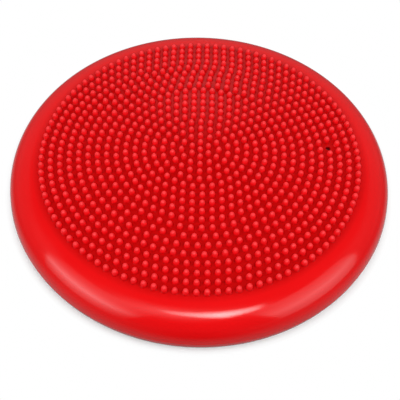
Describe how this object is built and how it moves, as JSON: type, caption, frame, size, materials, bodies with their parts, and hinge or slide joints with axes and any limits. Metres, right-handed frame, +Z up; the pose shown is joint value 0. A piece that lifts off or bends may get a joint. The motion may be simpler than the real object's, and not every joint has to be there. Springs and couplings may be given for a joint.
{
  "type": "wobble cushion",
  "caption": "Round air-filled wobble cushion with a knobbed top face, a smooth rounded rim and a needle valve; its top face rocks both ways and gives under load.",
  "frame": {"origin": "on the floor under the middle of the disc, where its flattened underside stands", "axes": "+Z up along the disc's axis, +X to the right of the pictured view, +Y away from it; the valve lies near +X"},
  "size_m": [0.33, 0.33, 0.063],
  "materials": {
    "skin": "glossy soft PVC, moulded through in red",
    "valve_housing": "soft PVC, moulded",
    "valve_core": "matte rubber"
  },
  "bodies": {
    "base": {"base_panel": "skin", "lower_sidewall": "skin"},
    "lower_rim": {"lower_rim_band": "skin"},
    "upper_rim": {"upper_rim_band": "skin"},
    "top": {"knob_ring_0": "skin", "knob_ring_1": "skin", "knob_ring_2": "skin", "knob_ring_3": "skin", "knob_ring_4": "skin", "knob_ring_5": "skin", "knob_ring_6": "skin", "knob_ring_7": "skin", "knob_ring_8": "skin", "knob_ring_9": "skin", "knob_ring_10": "skin", "knob_ring_11": "skin", "knob_ring_12": "skin", "knob_ring_13": "skin", "knob_ring_14": "skin", "knob_ring_15": "skin", "knob_ring_16": "skin", "knob_ring_17": "skin", "upper_sidewall": "skin", "valve_housing": "valve_housing", "valve_core": "valve_core"}
  },
  "joints": [
    {"name": "rock_fore_aft", "type": "hinge", "parent": "base", "child": "lower_rim", "pos_m": [0, 0, 0.0287], "axis": [1, 0, 0], "range_deg": [-6, 6], "stiffness_Nm_per_rad": 120, "deforming": ["lower_sidewall"]},
    {"name": "press", "type": "slide", "parent": "lower_rim", "child": "upper_rim", "axis": [0, 0, -1], "range_m": [0, 0.006], "stiffness_N_per_m": 20000, "deforming": ["lower_rim_band", "upper_rim_band"]},
    {"name": "rock_side_to_side", "type": "hinge", "parent": "upper_rim", "child": "top", "pos_m": [0, 0, 0.0287], "axis": [0, 1, 0], "range_deg": [-6, 6], "stiffness_Nm_per_rad": 120, "deforming": ["upper_sidewall"]}
  ]
}
